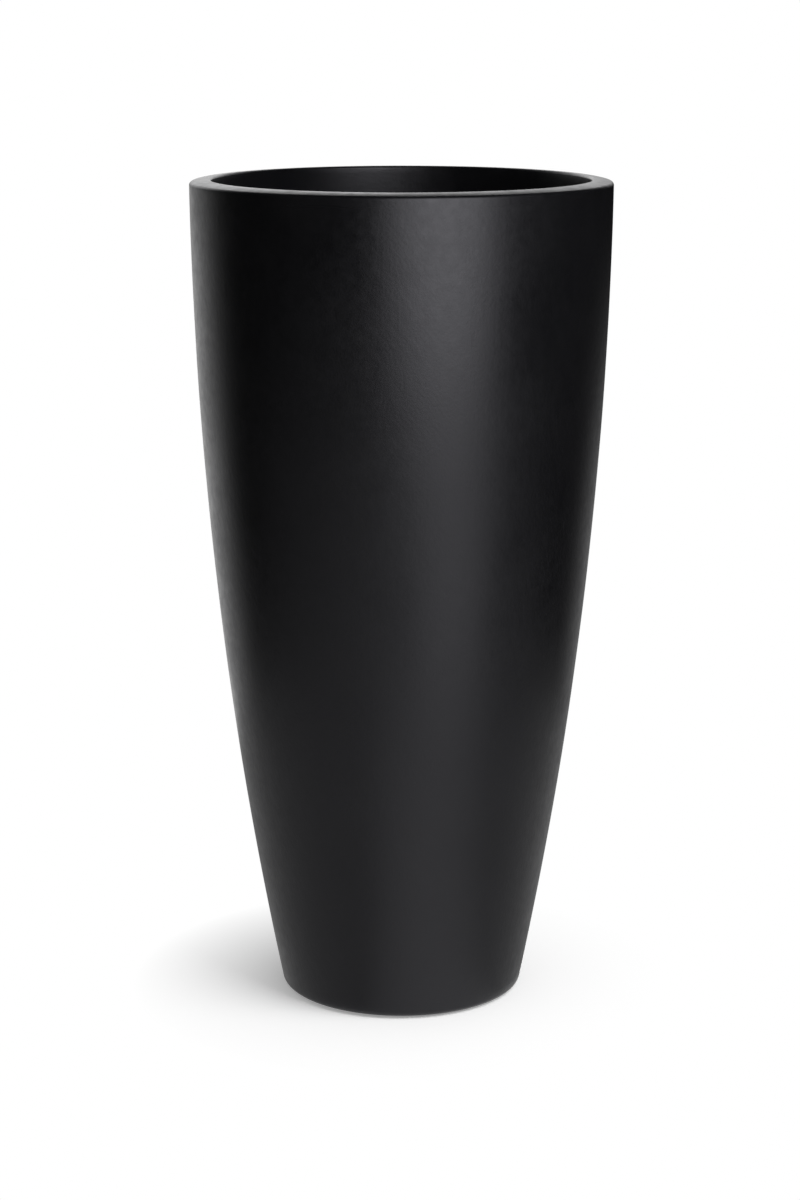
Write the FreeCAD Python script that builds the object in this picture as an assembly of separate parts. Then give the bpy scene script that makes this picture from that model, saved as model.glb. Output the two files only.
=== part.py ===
import FreeCAD, Part
import math
import os

# A tall round floor planter in painted glass-fibre laminate. Its side is one gentle bulging curve that
# narrows to the foot, and its top is a wide rim that turns in and down.
# Millimetres, +Z up. The origin is on the floor, on the planter's own axis.

# Outside form
planter_height = 800.0      # floor to the crest of the rim
rim_radius = 201.0          # outside of the side, carried up to the crest's height
foot_radius = 117.7         # outside of the side, carried down to the floor
side_bulge = 19.45          # how far the side stands outside a straight taper, at half height

# Laminate
wall_thickness = 4.0
bond_gap = 0.3              # adhesive between two bonded mouldings

# Foot of the wall
foot_bend = 3.0             # inside radius where the wall turns in to the foot flange
foot_flange_width = 28.0    # from the outside of the foot to the flange's inner edge

# Rim
lip_width = 20.7            # outside of the rim to its opening
lip_edge_radius = 2.5       # rounding where the rim turns down into its skirt
lip_fillet = 2.0            # under the lip, in the corner with the skirt
lip_skirt_depth = 45.0      # crest of the rim to the lower edge of the skirt
rim_crown_radius = 60.0     # the rim's top falls outwards from its crest as this arc
rim_edge_radius = 3.5       # rounding of the rim's outer edge
rim_band = 12.0             # crest of the rim to the seam with the wall
spigot_depth = 10.0         # how far the rim's tongue reaches down inside the wall
spigot_thickness = 3.0

# Base panel and its drain
base_thickness = 6.0
drain_radius = 12.5

# Drain plug
plug_clearance = 0.3
plug_flange_overlap = 7.5   # how far the flange covers the base round the hole
plug_flange_thickness = 3.0
plug_stem_length = 8.0
plug_stem_chamfer = 1.5
plug_tab_height = 12.0
plug_tab_thickness = 5.0

# Foot pads
pad_count = 4
pad_thickness = 2.0
pad_inset = 2.0             # from the edges of the flange's flat underside to a pad

# Planting shelf
shelf_play = 6.0            # the shelf passes the rim's opening with this much room all round
shelf_seat_gap = 0.3
shelf_thickness = 4.0
shelf_skirt_depth = 25.0
shelf_rib_count = 8
shelf_rib_depth = 18.0      # under the plate
shelf_rib_thickness = 3.0
hand_hole_radius = 30.0
shelf_hole_radius = 5.0     # each small drain hole of the shelf
inner_hole_count = 8
outer_hole_count = 16


def point(radius, height):
    """A point of the section plane: distance from the axis, and height."""
    return FreeCAD.Vector(radius, 0.0, height)


# The side's outside is the arc through the foot, half height and the rim.
waist_radius = (rim_radius + foot_radius) / 2 + side_bulge
side = Part.Arc(
    point(foot_radius, 0.0),
    point(waist_radius, planter_height / 2),
    point(rim_radius, planter_height),
).toShape().Curve


def side_radius(height, inset=0.0):
    """Radius of the side at a height, a given depth in from its outside."""
    reach = side.Radius - inset
    return side.Center.x + math.sqrt(reach ** 2 - (height - side.Center.z) ** 2)


def side_height(radius, inset=0.0):
    """Height at which the side, a given depth in from its outside, has a radius."""
    reach = side.Radius - inset
    return side.Center.z - math.sqrt(reach ** 2 - (radius - side.Center.x) ** 2)


def upper_meeting(centre_a, radius_a, centre_b, radius_b):
    """The higher of the two points where two circles of the section plane meet."""
    between = centre_b - centre_a
    along = (radius_a ** 2 - radius_b ** 2 + between.Length ** 2) / (2 * between.Length)
    across = math.sqrt(radius_a ** 2 - along ** 2)
    direction = between.normalize()
    square = FreeCAD.Vector(-direction.z, 0.0, direction.x)
    meetings = [centre_a + direction * along + square * side_of * across for side_of in (1, -1)]
    return max(meetings, key=lambda meeting: meeting.z)


class Section:
    """A closed outline in the section plane, drawn edge by edge and turned about the axis."""

    def __init__(self, radius, height):
        self.start = self.end = point(radius, height)
        self.edges = []

    def line(self, radius, height):
        """Draws a straight edge to a point."""
        target = point(radius, height)
        self.edges.append(Part.LineSegment(self.end, target).toShape())
        self.end = target

    def side(self, height, inset=0.0):
        """Follows the side's curve, at a depth in from its outside, to a height."""
        middle = (self.end.z + height) / 2
        target = point(side_radius(height, inset), height)
        self.edges.append(Part.Arc(self.end, point(side_radius(middle, inset), middle), target).toShape())
        self.end = target

    def bend(self, centre, target):
        """Draws the short arc about a centre, from the last point to a target."""
        radius = (self.end - centre).Length
        outward = (self.end - centre) + (target - centre)
        middle = centre + outward.normalize() * radius
        self.edges.append(Part.Arc(self.end, middle, target).toShape())
        self.end = target

    def turned(self):
        """Closes the outline and turns it once round the axis."""
        self.line(self.start.x, self.start.z)
        face = Part.Face(Part.Wire(self.edges))
        return face.revolve(FreeCAD.Vector(0, 0, 0), FreeCAD.Vector(0, 0, 1), 360)


# Places that more than one piece uses
underside = pad_thickness
flange_top = underside + wall_thickness
base_top = flange_top + base_thickness
flange_inner_radius = foot_radius - foot_flange_width
foot_edge_radius = foot_bend + wall_thickness
foot_centre = point(side_radius(underside + foot_edge_radius, foot_edge_radius), underside + foot_edge_radius)
seam_height = planter_height - rim_band
opening_radius = rim_radius - lip_width
crest_radius = opening_radius + lip_edge_radius
shelf_radius = opening_radius - shelf_play
shelf_top = side_height(shelf_radius + shelf_seat_gap, wall_thickness)


def make_body_shell():
    """The tapered wall, with the foot turned in as a flat flange."""
    from_side_centre = foot_centre - side.Center
    foot_direction = from_side_centre.normalize()
    section = Section(flange_inner_radius, underside)
    section.line(foot_centre.x, underside)
    section.bend(foot_centre, foot_centre + foot_direction * foot_edge_radius)
    section.side(seam_height)
    section.line(side_radius(seam_height, wall_thickness), seam_height)
    inner_tangent = foot_centre + foot_direction * foot_bend
    section.side(inner_tangent.z, wall_thickness)
    section.bend(foot_centre, point(foot_centre.x, flange_top))
    section.line(flange_inner_radius, flange_top)
    return section.turned()


def make_rim_ring():
    """The rim: crown, rounded edges, hanging skirt, and a tongue that locates it inside the wall."""
    crown_centre = point(crest_radius, planter_height - rim_crown_radius)
    edge_centre = upper_meeting(
        crown_centre, rim_crown_radius - rim_edge_radius,
        side.Center, side.Radius - rim_edge_radius,
    )
    on_side = edge_centre + (edge_centre - side.Center).normalize() * rim_edge_radius
    on_crown = edge_centre + (edge_centre - crown_centre).normalize() * rim_edge_radius
    bend_centre = point(crest_radius, planter_height - lip_edge_radius)
    skirt_outer_radius = opening_radius + wall_thickness
    under_crown_radius = rim_crown_radius - wall_thickness
    fillet_radius = skirt_outer_radius + lip_fillet
    fillet_rise = math.sqrt((under_crown_radius - lip_fillet) ** 2 - (fillet_radius - crest_radius) ** 2)
    fillet_centre = point(fillet_radius, crown_centre.z + fillet_rise)
    skirt_bottom = planter_height - lip_skirt_depth
    tongue_bottom = seam_height - spigot_depth
    tongue_outer = wall_thickness + bond_gap
    tongue_inner = tongue_outer + spigot_thickness

    section = Section(side_radius(seam_height), seam_height)
    section.side(on_side.z)
    section.bend(edge_centre, on_crown)
    section.bend(crown_centre, point(crest_radius, planter_height))
    section.bend(bend_centre, point(opening_radius, bend_centre.z))
    section.line(opening_radius, skirt_bottom)
    section.line(skirt_outer_radius, skirt_bottom)
    section.line(skirt_outer_radius, fillet_centre.z)
    section.bend(fillet_centre, fillet_centre + (fillet_centre - crown_centre).normalize() * lip_fillet)
    corner_radius = side_radius(seam_height, tongue_inner)
    corner_height = crown_centre.z + math.sqrt(under_crown_radius ** 2 - (corner_radius - crest_radius) ** 2)
    section.bend(crown_centre, point(corner_radius, corner_height))
    section.line(side_radius(tongue_bottom, tongue_inner), tongue_bottom)
    section.line(side_radius(tongue_bottom, tongue_outer), tongue_bottom)
    section.line(side_radius(seam_height, tongue_outer), seam_height)
    return section.turned()


def make_base_panel():
    """The floor disc that lies on the foot flange, with the drain hole."""
    panel_radius = foot_centre.x - bond_gap
    panel = Part.makeCylinder(panel_radius, base_thickness, point(0, flange_top))
    return panel.cut(Part.makeCylinder(drain_radius, base_thickness, point(0, flange_top)))


def make_drain_plug():
    """A bung with a flange on the base, a stem in the drain hole and a tab to pull it by."""
    stem_radius = drain_radius - plug_clearance
    flange_radius = drain_radius + plug_flange_overlap
    stem_bottom = base_top - plug_stem_length
    flange_top_height = base_top + plug_flange_thickness
    section = Section(0, stem_bottom)
    section.line(stem_radius - plug_stem_chamfer, stem_bottom)
    section.line(stem_radius, stem_bottom + plug_stem_chamfer)
    section.line(stem_radius, base_top)
    section.line(flange_radius, base_top)
    section.line(flange_radius, flange_top_height)
    section.line(0, flange_top_height)
    bung = section.turned()

    tab_centre = FreeCAD.Vector(0, -plug_tab_thickness / 2, flange_top_height)
    tab = Part.makeCylinder(plug_tab_height, plug_tab_thickness, tab_centre, FreeCAD.Vector(0, 1, 0))
    above = Part.makeCylinder(flange_radius + plug_tab_height, plug_tab_height, point(0, flange_top_height))
    return bung.fuse(tab.common(above)).removeSplitter()


def make_foot_pads():
    """Round pads spaced evenly under the foot flange, as one group of solids."""
    flat_width = foot_centre.x - flange_inner_radius
    pad_radius = flat_width / 2 - pad_inset
    circle_radius = flange_inner_radius + flat_width / 2
    pads = []
    for index in range(pad_count):
        angle = 2 * math.pi * (index + 0.5) / pad_count
        centre = FreeCAD.Vector(circle_radius * math.cos(angle), circle_radius * math.sin(angle), 0)
        pads.append(Part.makeCylinder(pad_radius, pad_thickness, centre))
    return Part.makeCompound(pads)


def hole_ring(count, radius):
    """Upright cutters for small drain holes, evenly spaced between the shelf's ribs."""
    cutters = []
    for index in range(count):
        angle = 2 * math.pi * (index + 0.5) / count
        foot = FreeCAD.Vector(radius * math.cos(angle), radius * math.sin(angle), shelf_top - shelf_thickness)
        cutters.append(Part.makeCylinder(shelf_hole_radius, shelf_thickness, foot))
    return cutters


def make_planting_shelf():
    """The loose false floor: a plate with a skirt that follows the wall, a hub, ribs and holes."""
    plate_bottom = shelf_top - shelf_thickness
    skirt_bottom = shelf_top - shelf_skirt_depth
    rib_bottom = plate_bottom - shelf_rib_depth
    skirt_outer = wall_thickness + shelf_seat_gap
    skirt_inner = skirt_outer + shelf_thickness
    hub_radius = hand_hole_radius + shelf_thickness

    section = Section(hand_hole_radius, shelf_top)
    section.line(hand_hole_radius, rib_bottom)
    section.line(hub_radius, rib_bottom)
    section.line(hub_radius, plate_bottom)
    section.line(side_radius(plate_bottom, skirt_inner), plate_bottom)
    section.side(skirt_bottom, skirt_inner)
    section.line(side_radius(skirt_bottom, skirt_outer), skirt_bottom)
    section.side(shelf_top, skirt_outer)
    shelf = section.turned()

    in_hub = (hand_hole_radius + hub_radius) / 2
    in_skirt = (skirt_inner + skirt_outer) / 2
    corners = [
        point(in_hub, rib_bottom),
        point(side_radius(rib_bottom, in_skirt), rib_bottom),
        point(side_radius(plate_bottom, in_skirt), plate_bottom),
        point(in_hub, plate_bottom),
    ]
    web = Part.Face(Part.makePolygon(corners + corners[:1]))
    web.translate(FreeCAD.Vector(0, -shelf_rib_thickness / 2, 0))
    ribs = []
    for index in range(shelf_rib_count):
        rib = web.extrude(FreeCAD.Vector(0, shelf_rib_thickness, 0))
        rib.rotate(FreeCAD.Vector(0, 0, 0), FreeCAD.Vector(0, 0, 1), 360 * index / shelf_rib_count)
        ribs.append(rib)
    # The rings of holes share the plate's free width out evenly between the hub and the skirt.
    hole_counts = (inner_hole_count, outer_hole_count)
    ring_step = (side_radius(plate_bottom, skirt_inner) - hub_radius) / (len(hole_counts) + 1)
    holes = []
    for ring, count in enumerate(hole_counts, start=1):
        holes += hole_ring(count, hub_radius + ring * ring_step)
    return shelf.fuse(ribs).cut(Part.makeCompound(holes)).removeSplitter()


pieces = {
    "body_shell": make_body_shell,
    "rim_ring": make_rim_ring,
    "base_panel": make_base_panel,
    "drain_plug": make_drain_plug,
    "foot_pads": make_foot_pads,
    "planting_shelf": make_planting_shelf,
}

os.makedirs("parts", exist_ok=True)
for name, make in pieces.items():
    shape = make()
    shape.exportStep("parts/" + name + ".step")
    box = shape.optimalBoundingBox()
    print(name, len(shape.Solids), "valid", shape.isValid(), "volume", round(shape.Volume),
          "z", round(box.ZMin, 2), round(box.ZMax, 2), "x", round(box.XMin, 2), round(box.XMax, 2))
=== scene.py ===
"""A tall, round, tapered floor planter in black painted glass-fibre laminate, dressed and lit in a studio.

Everything is in metres, +Z up. The origin is on the floor, on the planter's own axis, and the viewer
stands on the -Y side.
"""
import logging
import math
from collections.abc import Callable
from dataclasses import dataclass, field
from enum import Enum

import bpy
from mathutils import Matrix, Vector


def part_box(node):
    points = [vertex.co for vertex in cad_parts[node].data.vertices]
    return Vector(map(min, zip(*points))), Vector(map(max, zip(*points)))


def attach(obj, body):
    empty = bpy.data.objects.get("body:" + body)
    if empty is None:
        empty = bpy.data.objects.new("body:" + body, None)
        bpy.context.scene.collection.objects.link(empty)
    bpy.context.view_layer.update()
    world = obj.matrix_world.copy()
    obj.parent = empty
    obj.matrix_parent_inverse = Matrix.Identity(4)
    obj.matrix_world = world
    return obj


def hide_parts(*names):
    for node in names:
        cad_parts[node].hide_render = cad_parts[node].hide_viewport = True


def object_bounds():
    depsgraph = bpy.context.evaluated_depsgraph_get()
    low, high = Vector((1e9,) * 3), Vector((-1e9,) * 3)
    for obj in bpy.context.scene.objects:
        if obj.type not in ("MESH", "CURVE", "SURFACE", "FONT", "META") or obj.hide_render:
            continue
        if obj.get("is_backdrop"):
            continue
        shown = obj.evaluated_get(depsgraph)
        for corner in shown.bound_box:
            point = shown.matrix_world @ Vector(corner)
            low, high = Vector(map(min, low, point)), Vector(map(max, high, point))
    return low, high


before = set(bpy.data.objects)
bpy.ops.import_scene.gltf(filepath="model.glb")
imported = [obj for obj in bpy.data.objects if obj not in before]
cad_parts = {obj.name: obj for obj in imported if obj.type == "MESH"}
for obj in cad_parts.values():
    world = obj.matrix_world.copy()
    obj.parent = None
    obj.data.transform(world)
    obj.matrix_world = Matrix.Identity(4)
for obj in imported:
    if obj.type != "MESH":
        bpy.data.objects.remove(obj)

log = logging.getLogger("planter")

MM = 0.001
MERGE_GAP = MM / 100

Point2 = tuple[float, float]
Colour = tuple[float, float, float]
Scale = tuple[float, float, float]


class Body(Enum):
    """The bodies of the frame that a piece can ride on."""

    PLANTER = "planter"
    PLUG = "drain_plug"
    SHELF = "planting_shelf"


class Slot(Enum):
    """The record's material slots."""

    PAINT = "painted_laminate"
    RAW = "raw_laminate"
    PADS = "pad_rubber"
    PLUG = "plug_rubber"
    SHELF = "shelf_plastic"


class Operation(Enum):
    """What one object does to another."""

    UNITE = "UNION"
    CUT = "DIFFERENCE"


# ---- Section geometry ----


@dataclass(frozen=True)
class SideCurve:
    """The side's outside: one arc from the floor to the crest's height, bulging past a straight taper."""

    height: float
    rim_radius: float = 201.0 * MM
    foot_radius: float = 117.7 * MM
    bulge: float = 19.45 * MM

    @property
    def reach(self) -> float:
        """Works out the radius of the arc through foot, bulged middle and rim.

        Returns:
            The radius.
        """
        half_run = self.height / 2
        half_rise = (self.rim_radius - self.foot_radius) / 2
        half_chord = math.hypot(half_run, half_rise)
        # The mid point stands out by the bulge along the radius, not square to the chord.
        along = self.bulge * half_rise / half_chord
        across = self.bulge * half_run / half_chord
        return (half_chord ** 2 - along ** 2 + across ** 2) / (2 * across)

    @property
    def centre(self) -> Vector:
        """Works out the centre of the arc.

        Returns:
            Its radius and height.
        """
        half_run = self.height / 2
        half_rise = (self.rim_radius - self.foot_radius) / 2
        half_chord = math.hypot(half_run, half_rise)
        inward = Vector((-half_run / half_chord, half_rise / half_chord))
        middle = Vector(((self.rim_radius + self.foot_radius) / 2, half_run))
        return middle + inward * math.sqrt(self.reach ** 2 - half_chord ** 2)

    def radius_at(self, height: float, inset: float = 0.0) -> float:
        """Radius of the side.

        Args:
            height: height above the floor.
            inset: depth in from the outside.

        Returns:
            The distance from the axis.
        """
        centre = self.centre
        return centre.x + math.sqrt((self.reach - inset) ** 2 - (height - centre.y) ** 2)


class Outline:
    """A line of points in the section plane, each a radius and a height, drawn stretch by stretch."""

    def __init__(self, radius: float, height: float) -> None:
        """Starts the outline at a point.

        Args:
            radius: distance from the axis.
            height: height above the floor.
        """
        self.points: list[Vector] = [Vector((radius, height))]

    def line(self, radius: float, height: float, steps: int = 1) -> None:
        """Draws a straight stretch.

        Args:
            radius: distance of its end from the axis.
            height: height of its end.
            steps: how many equal runs it is cut into.
        """
        start, end = self.points[-1], Vector((radius, height))
        self.points += [start.lerp(end, step / steps) for step in range(1, steps + 1)]

    def side(self, curve: SideCurve, height: float, inset: float, steps: int) -> None:
        """Follows the side's curve.

        Args:
            curve: the side.
            height: height at which the stretch ends.
            inset: depth in from the outside.
            steps: how many runs it is cut into.
        """
        low = self.points[-1].y
        for step in range(1, steps + 1):
            level = low + (height - low) * step / steps
            self.points.append(Vector((curve.radius_at(level, inset), level)))

    def bend(self, centre: Vector, end: Vector, steps: int) -> None:
        """Draws the short arc about a centre, from the last point.

        Args:
            centre: centre of the arc.
            end: a point in the direction of the arc's end.
            steps: how many runs it is cut into.
        """
        spoke = self.points[-1] - centre
        turn = spoke.angle_signed(end - centre)
        start = math.atan2(spoke.y, spoke.x)
        for step in range(1, steps + 1):
            angle = start - turn * step / steps
            self.points.append(centre + spoke.length * Vector((math.cos(angle), math.sin(angle))))


def upper_meeting(centre_a: Vector, radius_a: float, centre_b: Vector, radius_b: float) -> Vector:
    """Finds where two circles of the section plane meet.

    Args:
        centre_a: centre of the first circle.
        radius_a: radius of the first circle.
        centre_b: centre of the second circle.
        radius_b: radius of the second circle.

    Returns:
        The higher of the two points.
    """
    between = centre_b - centre_a
    along = (radius_a ** 2 - radius_b ** 2 + between.length_squared) / (2 * between.length)
    across = math.sqrt(radius_a ** 2 - along ** 2)
    direction = between.normalized()
    square = Vector((-direction.y, direction.x))
    foot = centre_a + direction * along
    return max(foot + square * across, foot - square * across, key=lambda point: point.y)


# ---- Modelling by hand ----


def deselect_all() -> None:
    """Leaves nothing selected and nothing in edit mode."""
    if bpy.context.object and bpy.context.object.mode != "OBJECT":
        bpy.ops.object.mode_set(mode="OBJECT")
    bpy.ops.object.select_all(action="DESELECT")


def take_up(piece: bpy.types.Object) -> None:
    """Makes one object the only one selected, and the active one.

    Args:
        piece: the object.
    """
    deselect_all()
    piece.select_set(True)
    bpy.context.view_layer.objects.active = piece


def add_primitive(add: Callable, **settings: object) -> bpy.types.Object:
    """Adds a primitive.

    Args:
        add: the operator that adds it.
        settings: its size and place, by name.

    Returns:
        The primitive, with place, turn and scale applied.
    """
    deselect_all()
    add(**settings)
    bpy.ops.object.transform_apply(location=True, rotation=True, scale=True)
    return bpy.context.object


def turn_on_axis(name: str, outline: Outline, steps: int, closed: bool,
                 centre: Point2 = (0.0, 0.0)) -> bpy.types.Object:
    """Turns an outline once round an upright axis, as on a lathe.

    Args:
        name: the new piece's name.
        outline: the section, drawn on the +X side.
        steps: how many steps one turn has.
        closed: whether the section's last point is joined to its first.
        centre: where the axis stands.

    Returns:
        The new piece, in object mode.
    """
    offset = Vector((centre[0], centre[1], 0.0))
    places = [offset + Vector((point.x, 0.0, point.y)) for point in outline.points]
    if closed:
        places.append(places[0])
    piece = add_primitive(bpy.ops.mesh.primitive_plane_add, size=MM, location=places[0])
    piece.name = piece.data.name = name
    bpy.ops.object.mode_set(mode="EDIT")
    bpy.ops.mesh.select_all(action="SELECT")
    bpy.ops.mesh.merge(type="CENTER")
    for here, there in zip(places, places[1:]):
        bpy.ops.mesh.extrude_region_move(TRANSFORM_OT_translate={"value": there - here})
    bpy.ops.mesh.select_all(action="SELECT")
    bpy.ops.mesh.remove_doubles(threshold=MERGE_GAP)
    bpy.ops.mesh.spin(steps=steps, angle=math.tau, center=offset, axis=(0.0, 0.0, 1.0))
    bpy.ops.mesh.select_all(action="SELECT")
    bpy.ops.mesh.remove_doubles(threshold=MERGE_GAP)
    bpy.ops.mesh.normals_make_consistent(inside=False)
    bpy.ops.object.mode_set(mode="OBJECT")
    return piece


def smooth(piece: bpy.types.Object, angle: float = 35.0) -> None:
    """Shades a piece smooth, with its sharper edges kept.

    Args:
        piece: the piece.
        angle: the least angle of a kept edge, in degrees.
    """
    take_up(piece)
    bpy.ops.object.shade_smooth_by_angle(angle=math.radians(angle))


def apply_modifier(piece: bpy.types.Object, kind: str, **settings: object) -> None:
    """Adds a modifier and applies it.

    Args:
        piece: the piece.
        kind: the modifier's type.
        settings: its settings, by name.
    """
    take_up(piece)
    modifier = piece.modifiers.new(kind.lower(), kind)
    for name, value in settings.items():
        setattr(modifier, name, value)
    bpy.ops.object.modifier_apply(modifier=modifier.name)


def join(pieces: list[bpy.types.Object]) -> bpy.types.Object:
    """Joins several objects into the first.

    Args:
        pieces: the objects.

    Returns:
        The joined object.
    """
    take_up(pieces[0])
    for piece in pieces[1:]:
        piece.select_set(True)
    if len(pieces) > 1:
        bpy.ops.object.join()
    return pieces[0]


def combine(piece: bpy.types.Object, other: bpy.types.Object, operation: Operation) -> None:
    """Unites a piece with another object or cuts it, and deletes that object.

    Args:
        piece: the piece that stays.
        other: the object that is used up.
        operation: what the other object does to the piece.
    """
    apply_modifier(piece, "BOOLEAN", operation=operation.value, object=other, solver="EXACT")
    bpy.data.objects.remove(other)


def hand_over(piece: bpy.types.Object, body: Body, slot: Slot, *nodes: str) -> None:
    """Gives a finished piece its body and hides the nodes that it stands for.

    Args:
        piece: the piece.
        body: the body that it rides on.
        slot: the record's slot for its finish; not used.
        nodes: the frame's nodes that it replaces.
    """
    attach(piece, body.value)
    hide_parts(*nodes)
    log.info("%s: %d faces, on %s", piece.name, len(piece.data.polygons), body.value)


# ---- Finishes ----


def add_node(tree: bpy.types.NodeTree, kind: str, inputs: dict | None = None,
             **settings: object) -> bpy.types.Node:
    """Adds a node to a tree.

    Args:
        tree: the tree.
        kind: the node's type.
        inputs: values or sockets for its inputs, by name or number.
        settings: its own settings, by name.

    Returns:
        The node.
    """
    node = tree.nodes.new(kind)
    for name, value in settings.items():
        setattr(node, name, value)
    for name, value in (inputs or {}).items():
        if isinstance(value, bpy.types.NodeSocket):
            tree.links.new(value, node.inputs[name])
        else:
            node.inputs[name].default_value = value
    return node


def combined(tree: bpy.types.NodeTree, operation: str, first: bpy.types.NodeSocket,
             second: bpy.types.NodeSocket | float) -> bpy.types.NodeSocket:
    """Adds a math node to a tree and gives its result."""
    return add_node(tree, "ShaderNodeMath", {0: first, 1: second}, operation=operation).outputs[0]


def fade(tree: bpy.types.NodeTree, value: bpy.types.NodeSocket, start: float, end: float,
         shares: Point2 = (0.0, 1.0), soft: bool = False) -> bpy.types.NodeSocket:
    """Goes from one share to another while a value goes from start to end.

    Args:
        tree: the tree.
        value: the value.
        start: the value where the fade starts.
        end: the value where it ends.
        shares: the shares at the start and at the end.
        soft: whether the fade eases in and out.

    Returns:
        The share.
    """
    return add_node(tree, "ShaderNodeMapRange", {
        "Value": value, "From Min": start, "From Max": end, "To Min": shares[0], "To Max": shares[1],
    }, interpolation_type="SMOOTHSTEP" if soft else "LINEAR").outputs[0]


class NodeSheet:
    """A material's node tree with a surface shader, and short ways to add to it."""

    def __init__(self, name: str, colour: Colour, roughness: float, ior: float) -> None:
        """Makes the material.

        Args:
            name: the material's name.
            colour: base colour where nothing is linked to it.
            roughness: roughness where nothing is linked to it.
            ior: index of refraction of the surface.
        """
        self.material = bpy.data.materials.new(name)
        self.material.use_nodes = True
        self.tree = self.material.node_tree
        self.shader = self.tree.nodes["Principled BSDF"]
        self.shader.inputs["Base Color"].default_value = (*colour, 1.0)
        self.shader.inputs["Roughness"].default_value = roughness
        self.shader.inputs["IOR"].default_value = ior
        self.place = self.add("ShaderNodeTexCoord").outputs["Object"]

    def add(self, kind: str, inputs: dict | None = None, **settings: object) -> bpy.types.Node:
        """Adds a node, as add_node does."""
        return add_node(self.tree, kind, inputs, **settings)

    def stretched(self, scale: Scale, angle: float | bpy.types.NodeSocket = 0.0) -> bpy.types.NodeSocket:
        """Scales the object's coordinates, after a turn about Z.

        Args:
            scale: how many units a metre is in each direction.
            angle: the turn, in radians.

        Returns:
            The coordinates.
        """
        turned = self.add("ShaderNodeVectorRotate", {"Vector": self.place, "Angle": angle},
                          rotation_type="Z_AXIS")
        return self.add("ShaderNodeMapping", {"Vector": turned.outputs[0], "Scale": scale}).outputs[0]

    def twisted(self, scale: Scale, turns_per_metre: float) -> bpy.types.NodeSocket:
        """Scales coordinates that turn about the axis as they rise, so that upright streaks lean.

        Args:
            scale: how many units a metre is in each direction.
            turns_per_metre: how fast they turn.

        Returns:
            The coordinates.
        """
        height = self.add("ShaderNodeSeparateXYZ", {"Vector": self.place}).outputs["Z"]
        return self.stretched(scale, combined(self.tree, "MULTIPLY", height, turns_per_metre * math.tau))

    def noise(self, where: bpy.types.NodeSocket, scale: float, detail: float = 2.0,
              roughness: float = 0.5) -> bpy.types.NodeSocket:
        """Adds noise between 0 and 1.

        Args:
            where: the coordinates.
            scale: how many features one unit holds.
            detail: how many finer layers it has.
            roughness: how strong the finer layers are.

        Returns:
            The value.
        """
        return self.add("ShaderNodeTexNoise", {
            "Vector": where, "Scale": scale, "Detail": detail, "Roughness": roughness}).outputs[0]

    def spread(self, value: bpy.types.NodeSocket, low: float, high: float, start: float = 0.3,
               end: float = 0.7) -> bpy.types.NodeSocket:
        """Maps the middle of a noise, from start to end, onto the range from low to high."""
        return fade(self.tree, value, start, end, (low, high))

    def shade(self, value: bpy.types.NodeSocket, dark: Colour, light: Colour) -> None:
        """Links the base colour between two colours.

        Args:
            value: 0 for the dark one, 1 for the light one.
            dark: the dark colour.
            light: the light colour.
        """
        mixed = self.add("ShaderNodeMix", {"Factor": value}, data_type="RGBA")
        mixed.inputs[6].default_value = (*dark, 1.0)
        mixed.inputs[7].default_value = (*light, 1.0)
        self.tree.links.new(mixed.outputs[2], self.shader.inputs["Base Color"])

    def rough(self, value: bpy.types.NodeSocket) -> None:
        """Links the roughness."""
        self.tree.links.new(value, self.shader.inputs["Roughness"])

    def relief(self, layers: list[tuple[bpy.types.NodeSocket, float]]) -> None:
        """Links bumps, one on another.

        Args:
            layers: each layer's height pattern and its depth.
        """
        normal = None
        for pattern, depth in layers:
            inputs = {"Height": pattern, "Strength": 1.0, "Distance": depth}
            if normal:
                inputs["Normal"] = normal
            normal = self.add("ShaderNodeBump", inputs).outputs[0]
        self.tree.links.new(normal, self.shader.inputs["Normal"])


@dataclass(frozen=True)
class SatinPaint:
    """Sprayed satin black on a rubbed-down laminate: orange peel, faint upright rubbing streaks, clouding."""

    dark: Colour = (0.0030, 0.0030, 0.0036)
    light: Colour = (0.0046, 0.0046, 0.0052)
    ior: float = 1.42
    roughness_low: float = 0.30
    roughness_high: float = 0.41
    specular_tint: Colour = (0.94, 0.93, 1.0)
    peel_per_metre: float = 330.0
    peel_depth: float = 0.1 * MM
    streaks_across: float = 170.0
    streaks_up: float = 26.0
    streak_depth: float = 0.07 * MM
    lean_turns: float = 0.6
    clouds_per_metre: float = 9.0
    mottle_per_metre: float = 108.0
    uneven_range: Point2 = (0.7, 1.3)

    def make(self) -> bpy.types.Material:
        """Builds the material.

        Returns:
            The material.
        """
        sheet = NodeSheet("satin_black_paint", self.dark, self.roughness_low, self.ior)
        sheet.shader.inputs["Specular Tint"].default_value = (*self.specular_tint, 1.0)
        peel = sheet.noise(sheet.place, self.peel_per_metre, detail=3.0, roughness=0.55)
        upright = (self.streaks_across, self.streaks_across, self.streaks_up)
        streaks = sheet.noise(sheet.stretched(upright), 1.0, detail=3.0, roughness=0.6)
        leaning = sheet.noise(sheet.twisted(upright, self.lean_turns), 0.8, detail=2.0, roughness=0.5)
        clouds = sheet.noise(sheet.place, self.clouds_per_metre, detail=5.0, roughness=0.6)
        mottle = sheet.noise(sheet.place, self.mottle_per_metre, detail=3.0, roughness=0.6)
        sheet.shade(sheet.spread(clouds, 0.0, 1.0), self.dark, self.light)
        uneven = combined(sheet.tree, "ADD", clouds, mottle)
        sheet.rough(sheet.spread(uneven, self.roughness_low, self.roughness_high, *self.uneven_range))
        sheet.relief([
            (streaks, self.streak_depth),
            (leaning, self.streak_depth),
            (peel, self.peel_depth),
        ])
        return sheet.material


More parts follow.
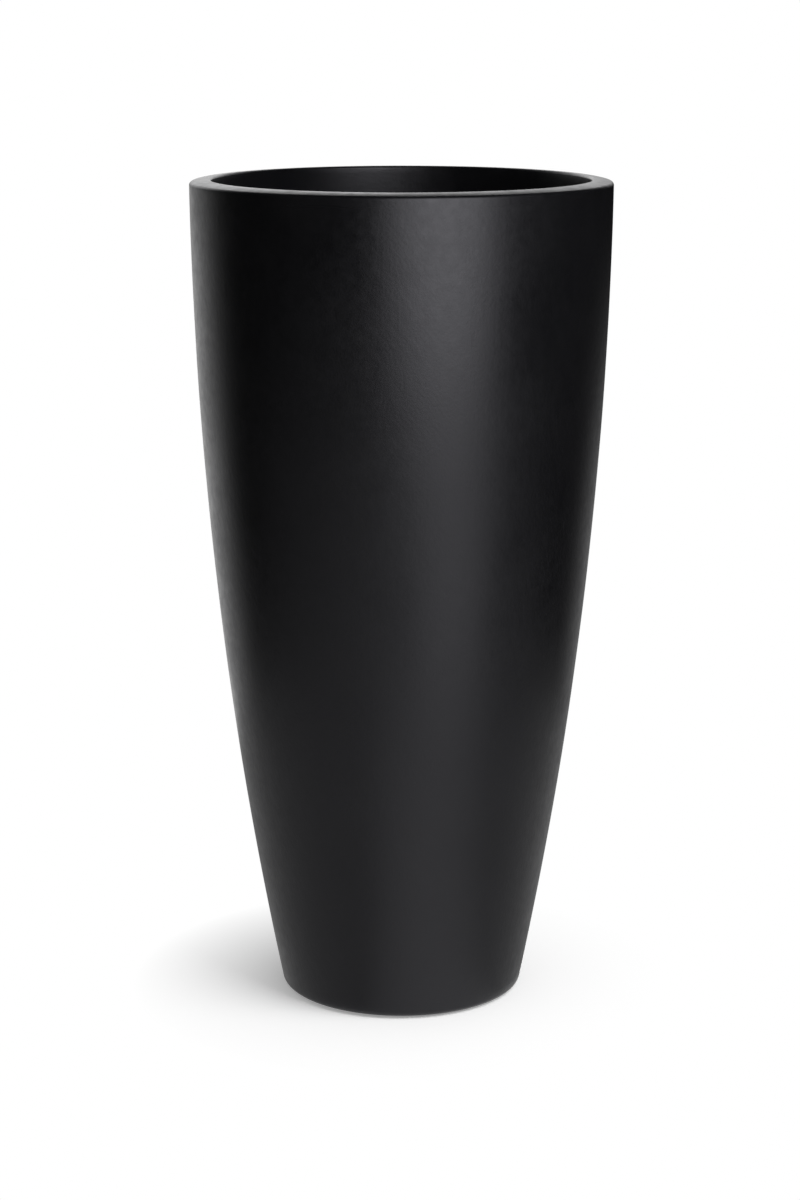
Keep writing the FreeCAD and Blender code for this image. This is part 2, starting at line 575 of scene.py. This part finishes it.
@dataclass(frozen=True)
class BrushedLaminate:
    """The mould's back face: strands under brushed black resin, lying every way round the wall."""

    dark: Colour = (0.008, 0.008, 0.0085)
    light: Colour = (0.022, 0.022, 0.023)
    ior: float = 1.5
    strands_across: float = 420.0
    strands_along: float = 22.0
    strand_depth: float = 0.35 * MM
    strand_range: Point2 = (0.52, 0.66)
    leaning_turns: Point2 = (1.1, -1.3)     # a metre, on the wall
    flat_angles: tuple[float, ...] = (0.0, 50.0, 105.0, 150.0)
    roughness_low: float = 0.38
    roughness_high: float = 0.75
    pools_per_metre: float = 24.0
    pool_depth: float = 0.8 * MM
    flat: bool = False

    def make(self) -> bpy.types.Material:
        """Builds the material.

        Returns:
            The material.
        """
        name = "brushed_laminate_flat" if self.flat else "brushed_laminate"
        sheet = NodeSheet(name, self.dark, roughness=0.6, ior=self.ior)
        upright = (self.strands_across, self.strands_across, self.strands_along)
        level = (self.strands_along, self.strands_along, self.strands_across)
        if self.flat:
            along_x = (self.strands_across, self.strands_along, self.strands_across)
            lays = [sheet.stretched(along_x, math.radians(angle)) for angle in self.flat_angles]
        else:
            lays = [sheet.twisted(upright, turns) for turns in self.leaning_turns]
            lays += [sheet.stretched(upright), sheet.stretched(level)]
        ridges = [sheet.spread(sheet.noise(lay, 1.0, detail=1.0), 0.0, 1.0, *self.strand_range)
                  for lay in lays]
        strands = ridges[0]
        for ridge in ridges[1:]:
            strands = combined(sheet.tree, "MAXIMUM", strands, ridge)
        pools = sheet.noise(sheet.place, self.pools_per_metre, detail=4.0, roughness=0.6)
        sheet.shade(combined(sheet.tree, "MULTIPLY", strands, pools), self.dark, self.light)
        sheet.rough(sheet.spread(pools, self.roughness_low, self.roughness_high))
        sheet.relief([(pools, self.pool_depth), (strands, self.strand_depth)])
        return sheet.material


@dataclass(frozen=True)
class MouldedRubber:
    """Matt rubber with fine pits and a little dust."""

    name: str
    dark: Colour = (0.012, 0.012, 0.012)
    light: Colour = (0.024, 0.024, 0.023)
    roughness_low: float = 0.62
    roughness_high: float = 0.85
    grain_per_metre: float = 1800.0
    grain_depth: float = 0.03 * MM
    dust_per_metre: float = 90.0
    dust_depth: float = 0.05 * MM

    def make(self) -> bpy.types.Material:
        """Builds the material.

        Returns:
            The material.
        """
        sheet = NodeSheet(self.name, self.dark, roughness=0.75, ior=1.5)
        grain = sheet.noise(sheet.place, self.grain_per_metre, detail=2.0, roughness=0.6)
        dust = sheet.noise(sheet.place, self.dust_per_metre, detail=5.0, roughness=0.65)
        sheet.shade(sheet.spread(dust, 0.0, 1.0), self.dark, self.light)
        sheet.rough(sheet.spread(dust, self.roughness_low, self.roughness_high))
        sheet.relief([(dust, self.dust_depth), (grain, self.grain_depth)])
        return sheet.material


@dataclass(frozen=True)
class MouldedPlastic:
    """Grained dark polypropylene with faint flow clouds."""

    dark: Colour = (0.018, 0.018, 0.019)
    light: Colour = (0.027, 0.027, 0.028)
    roughness_low: float = 0.44
    roughness_high: float = 0.58
    grain_per_metre: float = 900.0
    grain_depth: float = 0.06 * MM
    flow_per_metre: float = 14.0
    flow_depth: float = 0.15 * MM

    def make(self) -> bpy.types.Material:
        """Builds the material.

        Returns:
            The material.
        """
        sheet = NodeSheet("grained_plastic", self.dark, roughness=0.5, ior=1.49)
        grain = sheet.noise(sheet.place, self.grain_per_metre, detail=2.0, roughness=0.7)
        flow = sheet.noise(sheet.place, self.flow_per_metre, detail=4.0, roughness=0.55)
        sheet.shade(sheet.spread(flow, 0.0, 1.0), self.dark, self.light)
        sheet.rough(sheet.spread(flow, self.roughness_low, self.roughness_high))
        sheet.relief([(flow, self.flow_depth), (grain, self.grain_depth)])
        return sheet.material


# ---- The planter's pieces ----


@dataclass
class Laminate:
    """Sizes that the wall and the rim share."""

    side: SideCurve
    thickness: float = 4.0 * MM
    bond_gap: float = 0.3 * MM
    steps_round: int = 240
    wave_size: float = 0.11
    wave_depth: float = 0.35 * MM

    def wave(self, piece: bpy.types.Object, hidden_depth: float) -> None:
        """Gives the outside the slight waves of a hand-laid shell.

        Args:
            piece: the piece, with a smooth outside.
            hidden_depth: points this deep behind the outside, or deeper, stay.
        """
        outside = piece.vertex_groups.new(name="outside")
        for vertex in piece.data.vertices:
            depth = self.side.radius_at(vertex.co.z) - math.hypot(vertex.co.x, vertex.co.y)
            if depth < hidden_depth:
                outside.add([vertex.index], 1.0 - max(depth, 0.0) / hidden_depth, "REPLACE")
        clouds = bpy.data.textures.new("shell_waves", "CLOUDS")
        clouds.noise_scale = self.wave_size
        clouds.noise_depth = 1
        apply_modifier(piece, "DISPLACE", texture=clouds, texture_coords="LOCAL", direction="NORMAL",
                       vertex_group="outside", strength=self.wave_depth, mid_level=0.5)
        piece.vertex_groups.clear()


@dataclass
class WallShell:
    """The tapered wall with its foot turned in as a flange, painted outside and brushed inside."""

    laminate: Laminate
    foot_bend: float = 3.0 * MM
    flange_width: float = 28.0 * MM
    outside_rows: int = 96
    inside_rows: int = 48
    rising: float = 0.5         # a face whose normal rises more than this is a top
    piece: bpy.types.Object = field(init=False)

    def build(self) -> None:
        """Turns the wall's section."""
        low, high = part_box("body_shell")
        side, wall = self.laminate.side, self.laminate.thickness
        underside, seam = low.z, high.z
        edge = self.foot_bend + wall
        centre = Vector((side.radius_at(underside + edge, edge), underside + edge))
        outward = (centre - side.centre).normalized()
        flange_inner = side.foot_radius - self.flange_width

        outline = Outline(flange_inner, underside)
        outline.line(centre.x, underside, 6)
        outline.bend(centre, centre + outward, 10)
        outline.side(side, seam, 0.0, self.outside_rows)
        outline.line(side.radius_at(seam, wall), seam)
        outline.side(side, centre.y + outward.y * self.foot_bend, wall, self.inside_rows)
        outline.bend(centre, Vector((centre.x, underside)), 5)
        outline.line(flange_inner, underside + wall, 4)
        self.piece = turn_on_axis("wall_shell", outline, self.laminate.steps_round, closed=True)
        self.laminate.wave(self.piece, wall / 2)
        smooth(self.piece)

    def dress(self, outside: bpy.types.Material, inside: bpy.types.Material) -> None:
        """Paints the outside and brushes the inside.

        Args:
            outside: the paint.
            inside: the brushed laminate.
        """
        mesh = self.piece.data
        mesh.materials.append(outside)
        mesh.materials.append(inside)
        for face in mesh.polygons:
            middle = face.center
            depth = self.laminate.side.radius_at(middle.z) - math.hypot(middle.x, middle.y)
            faces_in = face.normal.x * middle.x + face.normal.y * middle.y < 0.0
            upper = face.normal.z > self.rising
            face.material_index = int(depth > self.laminate.thickness / 2 and (faces_in or upper))
        hand_over(self.piece, Body.PLANTER, Slot.PAINT, "body_shell")


@dataclass
class RimRing:
    """The rim: a nearly flat lip that falls a little outwards, a rounded outer edge and a hanging skirt."""

    laminate: Laminate
    lip_width: float = 20.7 * MM
    lip_edge_radius: float = 2.5 * MM
    lip_fillet: float = 2.0 * MM
    crown_radius: float = 60.0 * MM
    edge_radius: float = 3.5 * MM
    spigot_depth: float = 10.0 * MM
    spigot_thickness: float = 3.0 * MM
    piece: bpy.types.Object = field(init=False)

    def build(self) -> None:
        """Turns the rim's section."""
        low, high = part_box("rim_ring")
        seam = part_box("body_shell")[1].z
        side, wall = self.laminate.side, self.laminate.thickness
        crest_height, skirt_bottom = high.z, low.z
        opening = side.rim_radius - self.lip_width
        crest = opening + self.lip_edge_radius
        crown = Vector((crest, crest_height - self.crown_radius))
        edge = upper_meeting(crown, self.crown_radius - self.edge_radius,
                             side.centre, side.reach - self.edge_radius)
        lip_edge = Vector((crest, crest_height - self.lip_edge_radius))
        skirt_foot = Vector((opening + wall / 2, skirt_bottom + wall / 2))
        on_side = edge + (edge - side.centre).normalized() * self.edge_radius
        tongue_outer = wall + self.laminate.bond_gap
        tongue_inner = tongue_outer + self.spigot_thickness
        tongue_bottom = seam - self.spigot_depth
        corner_radius = side.radius_at(seam, tongue_inner)
        under_crown = self.crown_radius - wall
        fillet_radius = opening + wall + self.lip_fillet
        fillet_rise = math.sqrt((under_crown - self.lip_fillet) ** 2 - (fillet_radius - crest) ** 2)
        fillet = Vector((fillet_radius, crown.y + fillet_rise))
        corner = Vector((corner_radius, crown.y + math.sqrt(under_crown ** 2 - (corner_radius - crest) ** 2)))

        outline = Outline(side.radius_at(seam), seam)
        outline.side(side, on_side.y, 0.0, 3)
        outline.bend(edge, edge + (edge - crown), 10)
        outline.bend(crown, Vector((crest, crest_height)), 10)
        outline.bend(lip_edge, Vector((opening, lip_edge.y)), 8)
        outline.line(opening, skirt_foot.y, 8)
        outline.bend(skirt_foot, Vector((skirt_foot.x, skirt_bottom)), 4)
        outline.bend(skirt_foot, Vector((opening + wall, skirt_foot.y)), 4)
        outline.line(opening + wall, fillet.y, 4)
        outline.bend(fillet, fillet + (fillet - crown), 4)
        outline.bend(crown, corner, 4)
        outline.line(side.radius_at(tongue_bottom, tongue_inner), tongue_bottom, 2)
        outline.line(side.radius_at(tongue_bottom, tongue_outer), tongue_bottom)
        outline.line(side.radius_at(seam, tongue_outer), seam)
        self.piece = turn_on_axis("rim_lip", outline, self.laminate.steps_round, closed=True)
        self.laminate.wave(self.piece, wall / 2)
        smooth(self.piece)

    def dress(self, paint: bpy.types.Material) -> None:
        """Paints the rim all over.

        Args:
            paint: the paint.
        """
        self.piece.data.materials.append(paint)
        hand_over(self.piece, Body.PLANTER, Slot.PAINT, "rim_ring")


@dataclass
class BasePanel:
    """The floor disc with its drain hole, bonded on the foot flange."""

    drain_radius: float = 12.5 * MM
    edge_round: float = 0.8 * MM
    steps_round: int = 120
    piece: bpy.types.Object = field(init=False)

    def build(self) -> None:
        """Turns the disc's section."""
        low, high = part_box("base_panel")
        small = self.edge_round
        outline = Outline(self.drain_radius + small, low.z)
        outline.line(high.x - small, low.z, 12)
        outline.line(high.x, low.z + small)
        outline.line(high.x, high.z - small)
        outline.line(high.x - small, high.z)
        outline.line(self.drain_radius + small, high.z, 12)
        outline.bend(Vector((self.drain_radius + small, high.z - small)),
                     Vector((self.drain_radius, high.z - small)), 3)
        outline.line(self.drain_radius, low.z + small)
        outline.bend(Vector((self.drain_radius + small, low.z + small)),
                     Vector((self.drain_radius + small, low.z)), 3)
        self.piece = turn_on_axis("base_disc", outline, self.steps_round, closed=True)
        smooth(self.piece)

    def dress(self, laminate: bpy.types.Material) -> None:
        """Gives the disc its laminate."""
        self.piece.data.materials.append(laminate)
        hand_over(self.piece, Body.PLANTER, Slot.RAW, "base_panel")


@dataclass
class FootPads:
    """Thin round rubber pads under the foot flange."""

    count: int = 4
    edge_round: float = 0.5 * MM
    steps_round: int = 40
    pieces: list[bpy.types.Object] = field(default_factory=list)

    def build(self) -> None:
        """Turns each pad at its place."""
        low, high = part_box("foot_pads")
        flange_inner = SideCurve.foot_radius - WallShell.flange_width
        # The pads stand on the diagonals, each from the flange's inner edge out to the node's own box.
        diagonal = math.sqrt(2.0)
        radius = (high.x * diagonal - flange_inner) / (1.0 + diagonal)
        circle = (high.x - radius) * diagonal
        for index in range(self.count):
            angle = math.tau * (index + 0.5) / self.count
            outline = Outline(0.0, low.z)
            outline.line(radius - self.edge_round, low.z, 2)
            outline.line(radius, low.z + self.edge_round)
            outline.line(radius, high.z)
            outline.line(0.0, high.z, 2)
            pad = turn_on_axis(f"foot_pad_{index + 1}", outline, self.steps_round, closed=False,
                               centre=(circle * math.cos(angle), circle * math.sin(angle)))
            smooth(pad)
            self.pieces.append(pad)

    def dress(self, rubber: bpy.types.Material) -> None:
        """Gives the pads their rubber.

        Args:
            rubber: the rubber.
        """
        for pad in self.pieces:
            pad.data.materials.append(rubber)
            hand_over(pad, Body.PLANTER, Slot.PADS, "foot_pads")


@dataclass
class DrainPlug:
    """A rubber bung: stem in the drain hole, flange on the base and a tab to pull."""

    stem_radius: float = 12.2 * MM
    stem_chamfer: float = 1.5 * MM
    flange_thickness: float = 3.0 * MM
    tab_thickness: float = 5.0 * MM
    round_over: float = 0.9 * MM
    steps_round: int = 72
    piece: bpy.types.Object = field(init=False)

    def build(self) -> None:
        """Turns the bung and joins its tab."""
        low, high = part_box("drain_plug")
        base_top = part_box("base_panel")[1].z
        flange_top = base_top + self.flange_thickness
        flange_radius = high.x
        small = self.round_over
        outline = Outline(0.0, low.z)
        outline.line(self.stem_radius - self.stem_chamfer, low.z, 3)
        outline.line(self.stem_radius, low.z + self.stem_chamfer)
        outline.line(self.stem_radius, base_top)
        outline.line(flange_radius - small, base_top, 3)
        outline.bend(Vector((flange_radius - small, base_top + small)),
                     Vector((flange_radius, base_top + small)), 4)
        outline.line(flange_radius, flange_top - small)
        outline.bend(Vector((flange_radius - small, flange_top - small)),
                     Vector((flange_radius - small, flange_top)), 4)
        outline.line(0.0, flange_top, 4)
        self.piece = turn_on_axis("plug_bung", outline, self.steps_round, closed=False)
        combine(self.piece, self.make_tab(flange_top, high.z - flange_top), Operation.UNITE)
        smooth(self.piece)

    def make_tab(self, flange_top: float, height: float) -> bpy.types.Object:
        """Makes the half-round tab.

        Args:
            flange_top: height of the flange's top.
            height: how far the tab stands above it.

        Returns:
            The tab, with its root sunk a little into the flange.
        """
        tab = add_primitive(
            bpy.ops.mesh.primitive_cylinder_add, vertices=self.steps_round, radius=height,
            depth=self.tab_thickness, location=(0.0, 0.0, flange_top), rotation=(math.pi / 2, 0.0, 0.0))
        apply_modifier(tab, "BEVEL", width=self.round_over, segments=3, limit_method="ANGLE")
        bpy.ops.object.mode_set(mode="EDIT")
        bpy.ops.mesh.select_all(action="SELECT")
        bpy.ops.mesh.bisect(plane_co=(0.0, 0.0, flange_top - self.flange_thickness / 2),
                            plane_no=(0.0, 0.0, 1.0), use_fill=True, clear_inner=True)
        bpy.ops.object.mode_set(mode="OBJECT")
        return tab

    def dress(self, rubber: bpy.types.Material) -> None:
        """Gives the plug its rubber."""
        self.piece.data.materials.append(rubber)
        hand_over(self.piece, Body.PLUG, Slot.PLUG, "drain_plug")


@dataclass
class PlantingShelf:
    """The loose false floor: plate, skirt that follows the wall, hub, ribs, drain holes and a hand hole."""

    side: SideCurve
    wall: float = 4.0 * MM
    seat_gap: float = 0.3 * MM
    thickness: float = 4.0 * MM
    rib_count: int = 8
    rib_depth: float = 18.0 * MM
    rib_thickness: float = 3.0 * MM
    hand_hole: float = 30.0 * MM
    drain_hole: float = 5.0 * MM
    hole_counts: tuple[int, int] = (8, 16)
    hole_sides: int = 32
    round_over: float = 0.8 * MM
    round_angle: float = 50.0       # degrees: flatter edges stay as they are
    smooth_angle: float = 40.0
    steps_round: int = 128
    piece: bpy.types.Object = field(init=False)

    def build(self) -> None:
        """Turns the plate, joins the ribs, cuts the holes and rounds the edges."""
        low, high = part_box("planting_shelf")
        plate_bottom = high.z - self.thickness
        rib_bottom = plate_bottom - self.rib_depth
        hub = self.hand_hole + self.thickness
        outer = self.wall + self.seat_gap
        inner = outer + self.thickness
        outline = Outline(self.hand_hole, high.z)
        outline.line(self.hand_hole, rib_bottom, 4)
        outline.line(hub, rib_bottom)
        outline.line(hub, plate_bottom, 3)
        outline.line(self.side.radius_at(plate_bottom, inner), plate_bottom, 6)
        outline.side(self.side, low.z, inner, 4)
        outline.line(self.side.radius_at(low.z, outer), low.z)
        outline.side(self.side, high.z, outer, 5)
        self.piece = turn_on_axis("shelf_plate", outline, self.steps_round, closed=True)
        combine(self.piece, self.make_ribs(rib_bottom, plate_bottom + self.thickness / 2), Operation.UNITE)
        width = self.side.radius_at(plate_bottom, inner) - hub
        rings = [hub + width / 3, hub + width * 2 / 3]
        combine(self.piece, self.make_cutters(rings, high.z), Operation.CUT)
        apply_modifier(self.piece, "BEVEL", width=self.round_over, segments=2, limit_method="ANGLE",
                       angle_limit=math.radians(self.round_angle))
        smooth(self.piece, self.smooth_angle)
        apply_modifier(self.piece, "WEIGHTED_NORMAL", keep_sharp=True)

    def make_ribs(self, low: float, high: float) -> bpy.types.Object:
        """Makes the radial ribs.

        Args:
            low: height of their lower edges.
            high: height of their upper edges, inside the plate.

        Returns:
            All ribs in one object.
        """
        start = self.hand_hole + self.thickness / 2
        end = self.side.radius_at(low, self.wall + self.seat_gap + self.thickness / 2)
        ribs = []
        for index in range(self.rib_count):
            angle = math.tau * index / self.rib_count
            middle = (start + end) / 2
            ribs.append(add_primitive(
                bpy.ops.mesh.primitive_cube_add, size=1.0, rotation=(0.0, 0.0, angle),
                scale=(end - start, self.rib_thickness, high - low),
                location=(middle * math.cos(angle), middle * math.sin(angle), (low + high) / 2)))
        return join(ribs)

    def make_cutters(self, rings: list[float], top: float) -> bpy.types.Object:
        """Makes upright cylinders where the drain holes are.

        Args:
            rings: radius of each ring of holes.
            top: height of the plate's top.

        Returns:
            All cutters in one object.
        """
        cutters = []
        for ring, count in zip(rings, self.hole_counts):
            for index in range(count):
                angle = math.tau * (index + 0.5) / count
                cutters.append(add_primitive(
                    bpy.ops.mesh.primitive_cylinder_add, vertices=self.hole_sides, radius=self.drain_hole,
                    depth=self.thickness * 4,
                    location=(ring * math.cos(angle), ring * math.sin(angle), top)))
        return join(cutters)

    def dress(self, plastic: bpy.types.Material) -> None:
        """Gives the shelf its plastic."""
        self.piece.data.materials.append(plastic)
        hand_over(self.piece, Body.SHELF, Slot.SHELF, "planting_shelf")


# ---- Studio ----


@dataclass(frozen=True)
class SoftBox:
    """One soft studio lamp, aimed at a height on the planter's axis."""

    name: str
    azimuth: float      # degrees from the viewer's side, positive to the viewer's right
    height: float
    distance: float
    width: float
    tall: float
    radiance: float
    aim_height: float = 0.45

    def place(self) -> None:
        """Adds the lamp. Its power follows from its radiance and its area."""
        angle = math.radians(self.azimuth)
        where = Vector((self.distance * math.sin(angle), -self.distance * math.cos(angle), self.height))
        deselect_all()
        bpy.ops.object.light_add(type="AREA", location=where)
        lamp = bpy.context.object
        lamp.name = self.name
        lamp.data.shape = "RECTANGLE"
        lamp.data.size = self.width
        lamp.data.size_y = self.tall
        lamp.data.energy = self.radiance * math.pi * self.width * self.tall
        # Mirrored rays meet the cards on the flags instead.
        lamp.visible_glossy = False
        lamp.rotation_mode = "QUATERNION"
        lamp.rotation_quaternion = (where - Vector((0.0, 0.0, self.aim_height))).to_track_quat("Z", "Y")


@dataclass(frozen=True)
class Card:
    """A pale card on the dark flags, soft at its edges. An edge that isn't given lies past the flags."""

    level: float
    centre: float               # degrees from the viewer's side, positive to the viewer's right
    reach: float                # degrees to each side of the centre where the card ends
    core: float = 0.0           # degrees to each side of the centre at the full level
    rise: Point2 | None = None  # heights where its lower edge starts and is full
    fall: Point2 | None = None  # heights where its upper edge starts and ends


@dataclass(frozen=True)
class Studio:
    """A plain white floor and backdrop, plain soft light, and dark flags that keep black surfaces black.

    The flags are a tent round the planter and a sheet on the floor. Only mirrored rays meet them. Soft
    pale cards on them give the long highlight in front and the bright edges and rim from behind.
    """

    floor_half: float = 60.0
    floor_colour: Colour = (0.86, 0.86, 0.86)
    floor_roughness: float = 0.9
    floor_lift: float = 0.27
    shadow_inner: float = 0.12
    shadow_outer: float = 0.27
    light_level: float = 0.34
    flag_radius: float = 0.9
    flag_height: float = 3.0
    flag_steps: int = 96
    sheet_radius: float = 0.125
    sheet_lift: float = 1.0 * MM
    sheet_level: float = 0.45
    sheet_cards: tuple[Card, ...] = (
        Card(level=0.5, centre=18.0, reach=40.0),
    )
    tent_cards: tuple[Card, ...] = (
        # The highlight, its foot and a faint glow all over the front.
        Card(level=4.9, centre=20.0, reach=29.0, rise=(0.3, 0.7), fall=(1.0, 1.9)),
        Card(level=1.2, centre=28.0, reach=25.0, fall=(0.2, 0.6)),
        Card(level=0.4, centre=0.0, reach=90.0, fall=(0.2, 0.6)),
        # The top of the rim, the left edge and the right edge.
        Card(level=2.2, centre=-170.0, reach=55.0, rise=(0.75, 1.0), fall=(1.15, 1.5)),
        Card(level=1.15, centre=-155.0, reach=50.0, core=12.0, fall=(0.6, 1.0)),
        Card(level=0.5, centre=165.0, reach=50.0, core=10.0, fall=(0.2, 0.7)),
    )
    lamps: tuple[SoftBox, ...] = (
        SoftBox("key_softbox", azimuth=50.0, height=2.2, distance=2.1, width=1.9, tall=1.9, radiance=6.4),
    )

    def build(self) -> None:
        """Builds the floor, the world, the flags and the lamps."""
        self.make_world()
        self.make_floor()
        self.make_sheet()
        self.make_tent()
        for lamp in self.lamps:
            lamp.place()

    @staticmethod
    def seen(tree: bpy.types.NodeTree) -> bpy.types.NodeSocket:
        """Adds the mark of a ray that shows the background: seen directly, mirrored or through glass.

        Args:
            tree: the node tree.

        Returns:
            1 for such a ray, 0 for others.
        """
        path = add_node(tree, "ShaderNodeLightPath")
        total = path.outputs["Is Camera Ray"]
        for name in ("Is Glossy Ray", "Is Transmission Ray"):
            total = combined(tree, "MAXIMUM", total, path.outputs[name])
        return total

    def make_world(self) -> None:
        """Makes the world white where it is seen, and a plain even light elsewhere."""
        world = bpy.data.worlds.new("studio")
        bpy.context.scene.world = world
        world.use_nodes = True
        tree = world.node_tree
        background = tree.nodes["Background"]
        background.inputs["Color"].default_value = (1.0, 1.0, 1.0, 1.0)
        level = fade(tree, self.seen(tree), 0.0, 1.0, (self.light_level, 1.0))
        tree.links.new(level, background.inputs["Strength"])

    def make_floor(self) -> None:
        """Makes the floor: pale and matt near the planter, a painted white glow further away over the
        planter's shadow, open from below.
        """
        floor = add_primitive(bpy.ops.mesh.primitive_plane_add, size=2 * self.floor_half)
        floor.name = "studio_floor"
        sheet = NodeSheet("studio_floor", self.floor_colour, self.floor_roughness, ior=1.5)
        tree, shader = sheet.tree, sheet.shader
        shader.inputs["Specular IOR Level"].default_value = 0.0
        shader.inputs["Emission Color"].default_value = (1.0, 1.0, 1.0, 1.0)
        seen = self.seen(tree)
        tree.links.new(combined(tree, "MULTIPLY", seen, self.floor_lift), shader.inputs["Emission Strength"])

        # Painted light: for seen rays the floor turns to plain white glow from shadow_inner to shadow_outer
        # out from the axis, which covers the planter's real shadow further away.
        distance = sheet.add("ShaderNodeVectorMath", {0: sheet.place}, operation="LENGTH").outputs["Value"]
        away = fade(tree, distance, self.shadow_inner, self.shadow_outer)
        spread = sheet.add("ShaderNodeMixShader", {
            0: combined(tree, "MULTIPLY", away, seen), 1: shader.outputs[0],
            2: sheet.add("ShaderNodeEmission").outputs[0]})
        either = sheet.add("ShaderNodeMixShader", {
            0: sheet.add("ShaderNodeNewGeometry").outputs["Backfacing"], 1: spread.outputs[0],
            2: sheet.add("ShaderNodeBsdfTransparent").outputs[0]})
        tree.links.new(either.outputs[0], tree.nodes["Material Output"].inputs["Surface"])
        floor.data.materials.append(sheet.material)
        floor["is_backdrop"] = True

    def card_material(self, name: str, cards: tuple[Card, ...], level: float) -> bpy.types.Material:
        """Makes a flag's material, with cards that glow.

        Args:
            name: its name.
            cards: the cards.
            level: the flag's own brightness between them.

        Returns:
            The material.
        """
        material = bpy.data.materials.new(name)
        material.use_nodes = True
        tree = material.node_tree
        tree.nodes.clear()
        place = add_node(tree, "ShaderNodeTexCoord").outputs["Object"]
        height = add_node(tree, "ShaderNodeSeparateXYZ", {0: place}).outputs["Z"]
        flattened = add_node(tree, "ShaderNodeVectorMath", {0: place, 1: (1.0, 1.0, 0.0)},
                             operation="MULTIPLY")
        outward = add_node(tree, "ShaderNodeVectorMath", {0: flattened.outputs[0]}, operation="NORMALIZE")
        total = level
        for card in cards:
            turn = math.radians(card.centre)
            facing = add_node(tree, "ShaderNodeVectorMath", {
                0: outward.outputs[0], 1: (math.sin(turn), -math.cos(turn), 0.0)}, operation="DOT_PRODUCT")
            lit = fade(tree, facing.outputs["Value"], math.cos(math.radians(card.reach)),
                       math.cos(math.radians(card.core)), (0.0, card.level))
            if card.rise:
                lit = combined(tree, "MULTIPLY", lit, fade(tree, height, *card.rise, soft=True))
            if card.fall:
                lit = combined(tree, "MULTIPLY", lit, fade(tree, height, *card.fall, (1.0, 0.0), soft=True))
            total = combined(tree, "ADD", lit, total)
        glow = add_node(tree, "ShaderNodeEmission", {"Strength": total})
        add_node(tree, "ShaderNodeOutputMaterial", {"Surface": glow.outputs[0]})
        return material

    def make_flag(self, name: str, outline: Outline, cards: tuple[Card, ...], level: float) -> None:
        """Turns a flag, gives it its cards and hides it from every ray but mirrored ones.

        Args:
            name: its name.
            outline: its section.
            cards: its cards.
            level: its own brightness between them.
        """
        flag = turn_on_axis(name, outline, self.flag_steps, closed=False)
        flag.data.materials.append(self.card_material(name, cards, level))
        flag.visible_camera = False
        flag.visible_diffuse = False
        flag.visible_transmission = False
        flag.visible_volume_scatter = False
        flag.visible_shadow = False
        flag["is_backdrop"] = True

    def make_sheet(self) -> None:
        """Makes the flags' foot, which lies on the floor round the planter."""
        outline = Outline(self.sheet_radius, self.sheet_lift)
        outline.line(self.flag_radius, self.sheet_lift)
        self.make_flag("studio_flag_sheet", outline, self.sheet_cards, self.sheet_level)

    def make_tent(self) -> None:
        """Makes the flags' wall and roof."""
        outline = Outline(self.flag_radius, self.sheet_lift)
        outline.line(self.flag_radius, self.flag_height, 4)
        outline.line(0.0, self.flag_height, 2)
        self.make_flag("studio_flag_tent", outline, self.tent_cards, 0.0)


@dataclass(frozen=True)
class ViewerCamera:
    """The camera at the photograph's place: a long lens, a little above the rim, looking down."""

    place: tuple[float, float, float] = (-0.0014, -2.6444, 0.9824)
    pitch: float = 12.62        # degrees below level
    focal_pixels: float = 2764.6
    image_height: float = 1200.0
    sensor: float = 36.0        # millimetres, along the image's height
    clip_end: float = 300.0

    def build(self) -> None:
        """Adds the camera and makes it the scene's."""
        deselect_all()
        bpy.ops.object.camera_add(location=self.place, rotation=(math.radians(90.0 - self.pitch), 0.0, 0.0))
        camera = bpy.context.object
        camera.name = "viewer"
        camera.data.sensor_fit = "AUTO"
        camera.data.sensor_width = self.sensor
        camera.data.lens = self.focal_pixels / self.image_height * self.sensor
        camera.data.clip_end = self.clip_end
        bpy.context.scene.camera = camera


def main() -> None:
    """Builds the planter and the studio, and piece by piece."""
    logging.basicConfig(level=logging.INFO, format="%(name)s: %(message)s")
    cad_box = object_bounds()
    bpy.context.scene.view_settings.view_transform = "Standard"
    ViewerCamera().build()

    side = SideCurve(height=cad_box[1].z)
    laminate = Laminate(side)
    paint = SatinPaint().make()
    brushed = BrushedLaminate().make()

    wall = WallShell(laminate)
    wall.build()
    wall.dress(paint, brushed)
    rim = RimRing(laminate)
    rim.build()
    rim.dress(paint)
    base = BasePanel()
    base.build()
    base.dress(BrushedLaminate(flat=True).make())
    pads = FootPads()
    pads.build()
    pads.dress(MouldedRubber("pad_rubber").make())
    plug = DrainPlug()
    plug.build()
    plug.dress(MouldedRubber("plug_rubber").make())
    shelf = PlantingShelf(side)
    shelf.build()
    shelf.dress(MouldedPlastic().make())
    Studio().build()

    deselect_all()


if __name__ == "__main__":
    main()
